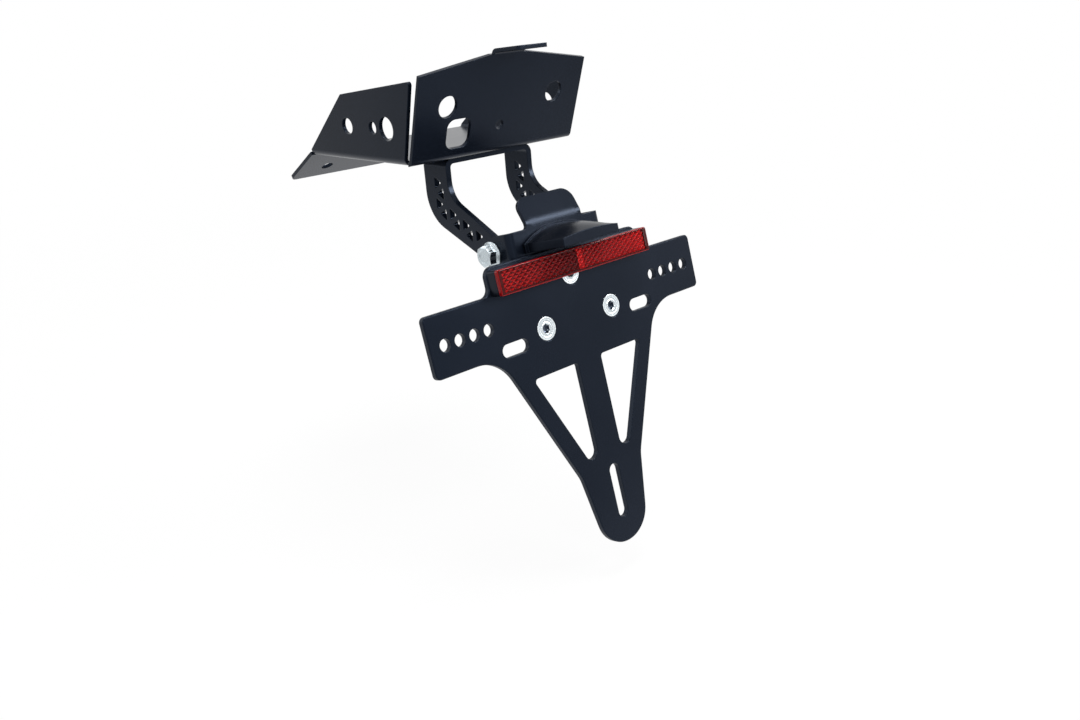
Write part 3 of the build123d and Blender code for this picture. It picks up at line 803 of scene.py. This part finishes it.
# %% Both pivot bolts
BOLT_DARK = (0.46, 0.53, 0.57)
BOLT_LIGHT = (0.7, 0.76, 0.79)
BOLT_RINGS = 0.5
BOLT_RING_DEPTH = 0.00002

for side, hand in ((-1, "left"), (1, "right")):
    low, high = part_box(f"pivot_bolt_{hand}")
    middle = (low + high) / 2
    top = max(low.x * side, high.x * side)
    end = min(low.x * side, high.x * side)
    place = Vector(((top - PIVOT_HEAD * MM) * side, middle.y, middle.z))
    seat = seat_matrix(place, plate_up, across * side)
    bolt = flange_bolt((top - end) / MM - PIVOT_HEAD)
    finish = zinc_finish(
        f"zinc_pivot_{hand}", seat, BOLT_DARK, BOLT_LIGHT, BOLT_RINGS, BOLT_RING_DEPTH
    )
    add_piece(f"{hand}_pivot_bolt", bolt, finish, "zinc_steel", seat, f"pivot_bolt_{hand}")

# %% [markdown]
# ## Flange nuts
# Seven flange nuts hold the pieces together from the inside: two on the pivots, three behind the
# plate screws and two on the lamp's studs. They could be modelled one by one, but they differ only in
# size, so one function makes both sizes and its mesh is copied. The bore has a small lead-in at both
# ends, cut by a turned shape. Nuts are pressed and tumbled, so their plating is grainy, without rings.

# %% Flange nut
NUT_SKIRT = 1.5
NUT_NECK_SHARE = 0.54
NUT_LEAD = 0.4


def flange_nut(width, flange, height, bore):
    """A hex flange nut on its seat, with a bored middle."""
    wide = bore + NUT_LEAD + CUT_PAST
    skirt = spun(flange_profile(flange) + [(NUT_NECK_SHARE * width, NUT_SKIRT), (0, NUT_SKIRT)])
    cutter = spun([
        (0, -CUT_PAST), (wide, -CUT_PAST), (bore, NUT_LEAD),
        (bore, height - NUT_LEAD), (wide, height + CUT_PAST), (0, height + CUT_PAST),
    ])
    body = combine(chamfered_hexagon(width, height, dish=0.0, turn=0.0), skirt, "UNION")
    return combine(body, cutter, "DIFFERENCE")


print("nut bores have a lead-in of", NUT_LEAD, "mm")

# %% Nut finish
NUT_DARK = (0.48, 0.5, 0.53)
NUT_LIGHT = (0.66, 0.68, 0.7)
NUT_ROUGH = (0.24, 0.36)

nut_zinc, tree, shader = new_finish("zinc_nut", Metallic=1.0)
tumbled = use_group(
    tree, skin, object_place(tree), Grain_Scale=1500.0, Grain_Depth=0.00002, Edge_Radius=ZINC_EDGE
)
feed(tree, shader["Base Color"], tones(tree, tumbled.outputs["Grain"], NUT_DARK, NUT_LIGHT))
feed(tree, shader["Roughness"], spread(tree, tumbled.outputs["Grain"], *NUT_ROUGH))
feed(tree, shader["Normal"], tumbled.outputs["Normal"])
print("nut finish", nut_zinc.name)

# %% All seven nuts
large_nut = flange_nut(width=10.0, flange=13.0, height=5.6, bore=3.05)
for side, hand in ((-1, "left"), (1, "right")):
    low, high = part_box(f"pivot_nut_{hand}")
    middle = (low + high) / 2
    place = Vector((max(low.x * side, high.x * side) * side, middle.y, middle.z))
    seat = seat_matrix(place, plate_up, across * -side)
    add_piece(f"{hand}_pivot_nut", large_nut.copy(), nut_zinc, "zinc_steel", seat, f"pivot_nut_{hand}")

for spot in ("left", "right", "top"):
    seat = seat_matrix(rim_centre(f"plate_nut_{spot}"), across, -plate_out)
    add_piece(f"{spot}_plate_nut", large_nut.copy(), nut_zinc, "zinc_steel", seat, f"plate_nut_{spot}")

small_nut = flange_nut(width=7.0, flange=9.6, height=4.0, bore=2.05)
for hand in ("left", "right"):
    seat = seat_matrix(rim_centre(f"lamp_nut_{hand}"), across, -plate_out)
    add_piece(f"{hand}_lamp_nut", small_nut.copy(), nut_zinc, "zinc_steel", seat, f"lamp_nut_{hand}")

# %% [markdown]
# ## Plate screws
# Three countersunk screws hold the plate holder to its bracket. Their wide flat heads face the
# camera, so they show most: a turned cone with a thin land at its rim, a shallow groove and rings
# left by the turning tool, and a hexagonal socket with a lead-in and a drilled bottom. A dark disc
# could stand for the socket, but light falls into the real one, so it is cut.

# %% Hex socket
SCREW_SOCKET = 4.0
SOCKET_DEPTH = 2.0
DRILL_R = 1.9
DRILL_POINT = 0.7
LEAD_R = 2.55
LEAD_DEPTH = 0.6
CUT_LIFT = 0.05


def cut_socket(head):
    """Presses a hexagonal socket into a head, and drills its bottom and its lead-in."""
    drill = spun([
        (0, -SOCKET_DEPTH - DRILL_POINT), (DRILL_R, -SOCKET_DEPTH + CUT_LIFT), (DRILL_R, -LEAD_DEPTH),
        (LEAD_R, CUT_LIFT), (LEAD_R, CUT_PAST), (0, CUT_PAST),
    ])
    pressed = combine(head, hexagon(SCREW_SOCKET, -SOCKET_DEPTH, CUT_PAST), "DIFFERENCE")
    return combine(pressed, drill, "DIFFERENCE")


print("socket", SCREW_SOCKET, "mm across flats")

# %% Countersunk screw
SCREW_HEAD = 12.0
SCREW_LENGTH = 14.0
SCREW_LAND = 0.15
SCREW_ROUND = 0.1
SCREW_NECK = 2.9
SCREW_PLAIN = 4.2
GROOVE_IN = 3.1
GROOVE_OUT = 4.25
GROOVE_SIDE = 0.15
GROOVE_DEPTH = 0.06


def countersunk_screw():
    """A countersunk screw whose head face lies at the origin and whose point is below it."""
    rim = SCREW_HEAD / 2 - SCREW_LAND
    groove = [
        (GROOVE_IN, 0), (GROOVE_IN + GROOVE_SIDE, -GROOVE_DEPTH),
        (GROOVE_OUT - GROOVE_SIDE, -GROOVE_DEPTH), (GROOVE_OUT, 0),
    ]
    cone = [(rim - SCREW_ROUND, 0), (rim, -SCREW_ROUND), (rim, -SCREW_LAND), (M6_CREST, -SCREW_NECK)]
    turned = spun([(0, 0)] + groove + cone + shank_profile(SCREW_PLAIN, SCREW_LENGTH))
    return thread_shank(cut_socket(turned), SCREW_PLAIN, SCREW_LENGTH)


print("screw head", SCREW_HEAD, "mm across")

# %% All three screws
SCREW_DARK = (0.7, 0.78, 0.83)
SCREW_LIGHT = (0.92, 0.97, 0.99)
SCREW_RINGS = 1.15
SCREW_RING_DEPTH = 0.000012
SHADED_R = SCREW_SOCKET * 0.55

screw = countersunk_screw()
for spot in ("left", "right", "top"):
    seat = seat_matrix(rim_centre(f"plate_screw_{spot}"), across, plate_out)
    finish = zinc_finish(
        f"zinc_screw_{spot}", seat, SCREW_DARK, SCREW_LIGHT, SCREW_RINGS, SCREW_RING_DEPTH, SHADED_R
    )
    add_piece(f"{spot}_plate_screw", screw.copy(), finish, "zinc_steel", seat, f"plate_screw_{spot}")

# %% [markdown]
# ## The reflector's block
# The reflector is a black block with a red lens on its front. Both are mouldings with rounded corners
# and a softened front edge. A cube with a bevel modifier rounds all its edges alike, so the upright
# edges and the front edges are bevelled in two steps. The block's own width, height and depth are
# worked out from the CAD node's upright box, because the block leans with the plate.

# %% Reflector block
CORNER = 1.2
CORNER_STEPS = 5
EDGE_STEPS = 3
BLOCK_EDGE = 0.5

low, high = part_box("reflector_base")
size = (high - low) / MM
tilt_sin = plate_out.z
tilt_cos = -plate_out.y
turn_back = tilt_cos ** 2 - tilt_sin ** 2
REFLECTOR_WIDTH = size.x
REFLECTOR_HEIGHT = (size.z * tilt_cos - size.y * tilt_sin) / turn_back
BLOCK_DEPTH = (size.y * tilt_cos - size.z * tilt_sin) / turn_back
block_seat = seat_matrix((low + high) / 2 - plate_out * BLOCK_DEPTH / 2 * MM, across, plate_out)


def rounded_block(depth, edge):
    """A block as wide and high as the reflector, with rounded corners and a softened front."""
    bm = bmesh.new()
    bmesh.ops.create_cube(bm, size=1)
    bmesh.ops.translate(bm, verts=bm.verts, vec=(0, 0, 0.5))
    bmesh.ops.scale(bm, verts=bm.verts, vec=(REFLECTOR_WIDTH * MM, REFLECTOR_HEIGHT * MM, depth * MM))
    upright = [e for e in bm.edges if abs(e.verts[0].co.z - e.verts[1].co.z) > WELD]
    bmesh.ops.bevel(
        bm, geom=upright, offset=CORNER * MM, offset_type="OFFSET", affect="EDGES",
        segments=CORNER_STEPS, profile=0.5, material=-1,
    )
    front = max(bm.faces, key=lambda face: face.calc_center_median().z)
    bmesh.ops.bevel(
        bm, geom=front.edges[:], offset=edge * MM, offset_type="OFFSET", affect="EDGES",
        segments=EDGE_STEPS, profile=0.5, material=-1,
    )
    return as_mesh(bm)


block = rounded_block(BLOCK_DEPTH, BLOCK_EDGE)
add_piece("reflector_block", block, moulded_black, "black_plastic", block_seat, "reflector_base")
print("reflector", round(REFLECTOR_WIDTH, 2), round(REFLECTOR_HEIGHT, 2), round(BLOCK_DEPTH, 2))

# %% [markdown]
# ## The red lens
# The lens is clear red plastic with a dark solid rim, whose outer edge has a painted highlight.
# Real refraction through two thin layers is slow and noisy, so the lens is see-through by its alpha:
# almost clear over the prisms, and almost solid on the rim. The rim is told by the distance from the
# middle of the reflector. A slight ripple keeps its reflections from looking like glass.

# %% Lens finish
RIM_ALPHA = 0.9
FIELD_ALPHA = 0.1
LENS_END = 2.2
LENS_EDGE = 1.1
EDGE_HIGHLIGHT_WIDTH = 0.5
RIM_DARK = (0.05, 0.001, 0.0015, 1)
# The rim's outer band is painted this brighter red, a painted highlight.
RIM_PAINTED_HIGHLIGHT = (0.26, 0.003, 0.004, 1)
RIPPLE_SCALE = 260.0
RIPPLE_DEPTH = 0.00003

red_clear, tree, shader = new_finish("red_clear", Roughness=0.1, Specular_IOR_Level=0.22)
place = split(tree, seat_place(tree, block_seat))
from_middle = math_node(tree, "ABSOLUTE", place["X"])
from_line = math_node(tree, "ABSOLUTE", place["Y"])


def border_mask(end, edge):
    """A mask of the lens's border, whose ends and long edges are given in millimetres."""
    beside = math_node(tree, "GREATER_THAN", from_middle, REFLECTOR_WIDTH / 2 - end)
    above = math_node(tree, "GREATER_THAN", from_line, REFLECTOR_HEIGHT / 2 - edge)
    return math_node(tree, "MAXIMUM", beside, above)


# The outermost band of the rim gets a painted highlight, a brighter red.
painted_edge_highlight = border_mask(EDGE_HIGHLIGHT_WIDTH, EDGE_HIGHLIGHT_WIDTH)
rim = border_mask(LENS_END, LENS_EDGE)
cover = math_node(tree, "MULTIPLY_ADD", rim, RIM_ALPHA - FIELD_ALPHA, FIELD_ALPHA)
ripple = noise_node(tree, object_place(tree), RIPPLE_SCALE)
feed(tree, shader["Base Color"], mix_colour(tree, painted_edge_highlight, RIM_DARK, RIM_PAINTED_HIGHLIGHT))
feed(tree, shader["Alpha"], cover)
feed(tree, shader["Normal"], bump_node(tree, ripple, RIPPLE_DEPTH))
print("lens finish", red_clear.name)

# %% Lens
LENS_DEPTH = 2.1
LENS_SOFT = 0.6

lens_seat = block_seat @ Matrix.Translation((0, 0, BLOCK_DEPTH * MM))
lens = rounded_block(LENS_DEPTH, LENS_SOFT)
add_piece("reflector_red_lens", lens, red_clear, "red_lens", lens_seat, "reflector_lens")

# %% [markdown]
# ## The prism sheet
# Behind the lens lies a sheet of small prisms that throw light back to where it came from, which
# makes it glitter in cells. It has a left field, a right field and a narrow strip between them,
# painted brighter than both. Tracing light through prisms is slow, and a bump has no cells. So each
# field is a
# grid whose faces are poked into pyramids, trimmed by four cutting planes. The glitter is painted
# light:
# each facet gets a painted highlight or painted shade by the way it faces and by where it lies along
# its field, and this is kept on the mesh as an attribute of its faces, which the finish reads.

# %% Prism finish
PAINTED_LIGHT_ATTRIBUTE = "painted_facet_light"
# The two cell colours are painted shade and painted highlight on the same red.
CELL_PAINTED_SHADE = (0.04, 0.002, 0.003, 1)
CELL_PAINTED_HIGHLIGHT = (0.9, 0.02, 0.02, 1)
CELL_ROUGH = (0.16, 0.3)
PAINTED_GLINT_SCALE = 55.0
PAINTED_GLINT = (0.55, 1.0)

red_cells, tree, shader = new_finish("red_cells", Specular_IOR_Level=0.15)
painted_facet_light = tree.nodes.new("ShaderNodeAttribute")
painted_facet_light.attribute_name = PAINTED_LIGHT_ATTRIBUTE
cloud = noise_node(tree, object_place(tree), PAINTED_GLINT_SCALE, 1.0)
# Painted glint: each facet's painted light, varied by a slow noise, blends painted shade and painted
# highlight.
painted_glint_light = math_node(tree, "MULTIPLY", painted_facet_light.outputs["Fac"], spread(tree, cloud, *PAINTED_GLINT))
feed(tree, shader["Base Color"], mix_colour(tree, painted_glint_light, CELL_PAINTED_SHADE, CELL_PAINTED_HIGHLIGHT))
feed(tree, shader["Roughness"], spread(tree, cloud, *CELL_ROUGH))
print("prism finish", red_cells.name)

# %% Grid of prisms
PRISM_WIDE = 3.9
PRISM_TALL = 2.6
PRISM_HIGH = 0.6
FIELD_HEIGHT = REFLECTOR_HEIGHT - 2 * LENS_EDGE


def prism_grid(width):
    """A field of four-sided prisms on the origin, trimmed to a rectangle."""
    field = bmesh.new()
    count = int(width / PRISM_WIDE + FIELD_HEIGHT / PRISM_TALL) + 4
    cell = (PRISM_WIDE / sqrt(2) * MM, PRISM_TALL / sqrt(2) * MM, 1)
    bmesh.ops.create_grid(field, x_segments=count, y_segments=count, size=count / 2)
    bmesh.ops.rotate(field, verts=field.verts, matrix=Matrix.Rotation(pi / 4, 3, "Z"))
    bmesh.ops.scale(field, verts=field.verts, vec=cell)
    bmesh.ops.poke(field, faces=field.faces[:], offset=PRISM_HIGH * MM)
    for x, y, reach in ((1, 0, width), (-1, 0, width), (0, 1, FIELD_HEIGHT), (0, -1, FIELD_HEIGHT)):
        outwards = Vector((x, y, 0))
        bmesh.ops.bisect_plane(
            field, geom=field.verts[:] + field.edges[:] + field.faces[:], dist=WELD,
            plane_co=outwards * reach / 2 * MM, plane_no=outwards, clear_outer=True,
        )
    field.normal_update()
    return field


print("prisms", PRISM_WIDE, "by", PRISM_TALL, "mm")

# %% Field of prisms
SHEET_BACK = -0.4


def close_back(field):
    """Gives a field a skirt down to its back, and closes the back with a fan."""
    rim = [e for e in field.edges if e.is_boundary]
    skirt = bmesh.ops.extrude_edge_only(field, edges=rim)["geom"]
    for vert in (item for item in skirt if isinstance(item, bmesh.types.BMVert)):
        vert.co.z = SHEET_BACK * MM
    back = bmesh.ops.holes_fill(field, edges=[e for e in field.edges if e.is_boundary])["faces"]
    bmesh.ops.poke(field, faces=back)


def add_field(sheet, middle, width, bright, dull, left_light, right_light):
    """Adds a field whose facets get painted highlights towards one side and painted shade elsewhere,
    scaled by painted light that changes along it.
    """
    field = prism_grid(width)
    facet_light_layer = field.faces.layers.float.new(PAINTED_LIGHT_ATTRIBUTE)
    # Painted light per facet: lit towards one way, shaded otherwise, and brighter or darker along the
    # field.
    for face in field.faces:
        flat = Vector((face.normal.x, face.normal.y)).normalized()
        along = face.calc_center_median().x / (width * MM) + 0.5
        light_share = left_light + (right_light - left_light) * along
        face[facet_light_layer] = max(dull, flat.dot(Vector(bright))) * light_share
    close_back(field)
    bmesh.ops.translate(field, verts=field.verts, vec=(middle * MM, 0, 0))
    bmesh.ops.recalc_face_normals(field, faces=field.faces)
    part = as_mesh(field)
    sheet.from_mesh(part)
    bpy.data.meshes.remove(part)


print("fields are", round(FIELD_HEIGHT, 2), "mm high")

# %% Three fields on one sheet
STRIP_WIDE = 4.0
STRIP_SHIFT = 2.4
FIELD_GAP = 0.1
SHEET_LIFT = 0.9

half_width = (REFLECTOR_WIDTH - STRIP_WIDE) / 2 - LENS_END
left_width = half_width + STRIP_SHIFT
right_width = half_width - STRIP_SHIFT
left_middle = STRIP_SHIFT - (STRIP_WIDE + left_width) / 2
right_middle = STRIP_SHIFT + (STRIP_WIDE + right_width) / 2
sheet = bmesh.new()
# The levels are painted light: the left field darkens towards the middle, the strip is bright, the
# right field brightens to its end.
add_field(
    sheet, left_middle, left_width - FIELD_GAP,
    bright=(0.2, -0.98), dull=0.08, left_light=0.85, right_light=0.12,
)
add_field(
    sheet, STRIP_SHIFT, STRIP_WIDE - FIELD_GAP,
    bright=(0.5, -0.87), dull=0.3, left_light=1.3, right_light=1.3,
)
add_field(
    sheet, right_middle, right_width - FIELD_GAP,
    bright=(0.4, -0.92), dull=0.2, left_light=0.6, right_light=1.4,
)
sheet_seat = lens_seat @ Matrix.Translation((0, 0, SHEET_LIFT * MM))
prisms = add_piece("reflector_prisms", as_mesh(sheet), red_cells, "red_lens", sheet_seat)
prisms.data.shade_flat()

# %% [markdown]
# ## Lamp lens and circuit board
# Under the lamp's hood a clear ribbed lens covers a small white circuit board with three
# light-emitting diodes. Both keep their CAD solids, because they are hardly seen. The ribs could be
# modelled, but a wave across the lens is enough under a hood. The diodes are told from the board by
# their height in the plate's own directions.

# %% Lamp lens finish
RIB_SCALE = 0.35
RIB_DEPTH = 0.0003

board_low, board_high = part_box("lamp_board")
lamp_seat = seat_matrix((Vector(board_low) + Vector(board_high)) / 2, across, plate_up)
ribbed_clear, tree, shader = new_finish(
    "ribbed_clear", Base_Color=(0.95, 0.97, 0.98, 1), Roughness=0.08, IOR=1.49, Transmission_Weight=1.0
)
ribs = tree.nodes.new("ShaderNodeTexWave")
ribs.inputs["Scale"].default_value = RIB_SCALE
feed(tree, ribs.inputs["Vector"], seat_place(tree, lamp_seat))
feed(tree, shader["Normal"], bump_node(tree, ribs.outputs["Fac"], RIB_DEPTH))
print("lamp lens finish", ribbed_clear.name)

# %% Circuit board finish
DIODE_FACE = -0.3
BOARD_WHITE = (0.72, 0.74, 0.7, 1)
DIODE_YELLOW = (0.85, 0.62, 0.08, 1)
BOARD_ROUGH = (0.35, 0.55)
FLUX_SCALE = 900.0

board_white, tree, shader = new_finish("board_white", Specular_IOR_Level=0.4)
below = split(tree, seat_place(tree, lamp_seat))["Z"]
is_diode = math_node(tree, "LESS_THAN", below, DIODE_FACE)
flux = noise_node(tree, object_place(tree), FLUX_SCALE)
feed(tree, shader["Base Color"], mix_colour(tree, is_diode, BOARD_WHITE, DIODE_YELLOW))
feed(tree, shader["Roughness"], spread(tree, flux, *BOARD_ROUGH))
print("board finish", board_white.name)

# %% [markdown]
# ## The tongue's soft bend
# The tilt bracket's tongue leans forward above a bend that was pressed over a wide, round tool, and
# light gathers there in a band. The solid's bend is tighter. Its mesh stays as it is, so a copy of
# the powder coat widens the reach of its soft edge around the bend alone, by a mask that fades out
# towards the tongue's sides.

# %% Tongue bend
BEND_UP = 0.0115
BEND_OUT = 0.015
BEND_SOFT = 0.004
BEND_SIDES = (14.0, 18.0)
BEND_REACH = (3.0, 6.5)

hinge = Vector(frame["record"]["behaviour"]["joints"][0]["pos_m"])
bend_seat = seat_matrix(hinge + plate_up * BEND_UP + plate_out * BEND_OUT, across, plate_out)
bent_coat = powder_coat.copy()
bent_coat.name = "powder_coat_bend"
tree = bent_coat.node_tree
place = split(tree, seat_place(tree, bend_seat))
sideways = math_node(tree, "ABSOLUTE", place["X"])
upwards = math_node(tree, "ABSOLUTE", place["Y"])
near_middle = map_node(tree, sideways, BEND_SIDES, (1.0, 0.0), smooth=True)
near_line = map_node(tree, upwards, BEND_REACH, (1.0, 0.0), smooth=True)
near_bend = math_node(tree, "MULTIPLY", near_middle, near_line)
softness = math_node(tree, "MULTIPLY_ADD", near_bend, BEND_SOFT - EDGE_SOFT, EDGE_SOFT)
feed(tree, tree.nodes["skin"].inputs["Edge Radius"], softness)
print("tongue bend at", tuple(round(v, 4) for v in bend_seat.translation))

# %% [markdown]
# ## The plate holder's cut edges
# The plate holder is taken to be cut from flat sheet by a laser, which leaves a finely grooved wall,
# where the powder lies rougher than on the rolled faces. Seen almost along the wall, a smooth coat
# would mirror the pale floor, while the real edge stays dark. The walls could get a second material,
# but the CAD mesh is left alone. So a copy of the powder coat is rougher where a point lies between
# the sheet's two faces, which its distance from the front face tells.

# %% Cut edges
SHEET_THICK = 3.0
FACE_SKIN = 0.1
CUT_ROUGH = 0.42

cut_coat = powder_coat.copy()
cut_coat.name = "powder_coat_cut"
tree = cut_coat.node_tree
shader = tree.nodes["Principled BSDF"].inputs
front_seat = seat_matrix(Vector(mounts["number_plate_bolts"]["pos_m"]), across, plate_out)
depth = split(tree, seat_place(tree, front_seat))["Z"]
from_core = math_node(tree, "ABSOLUTE", math_node(tree, "ADD", depth, SHEET_THICK / 2))
is_wall = math_node(tree, "LESS_THAN", from_core, SHEET_THICK / 2 - FACE_SKIN)
face_rough = shader["Roughness"].links[0].from_socket
wall_rough = math_node(tree, "MULTIPLY", is_wall, CUT_ROUGH)
feed(tree, shader["Roughness"], math_node(tree, "MAXIMUM", face_rough, wall_rough))
print("cut edges are", CUT_ROUGH, "rough")

# %% [markdown]
# ## Dressing the CAD solids
# The sheets, the lamp's housing and what is inside it are right as they are in CAD. They could be
# built again, but a second copy only adds chances to be wrong. So their solids stay, and each gets
# its finish in place of the plain one.

# %% Finishes on the CAD solids
dressed = {
    "upper_bracket": powder_coat,
    "arm_yoke": powder_coat,
    "tilt_bracket": bent_coat,
    "plate_holder": cut_coat,
    "lamp_housing": moulded_black,
    "lamp_lens": ribbed_clear,
    "lamp_board": board_white,
}
for name, finish in dressed.items():
    node = frame["nodes"][name]
    node.data.materials.clear()
    node.data.materials.append(finish)
print("dressed:", sorted(dressed))
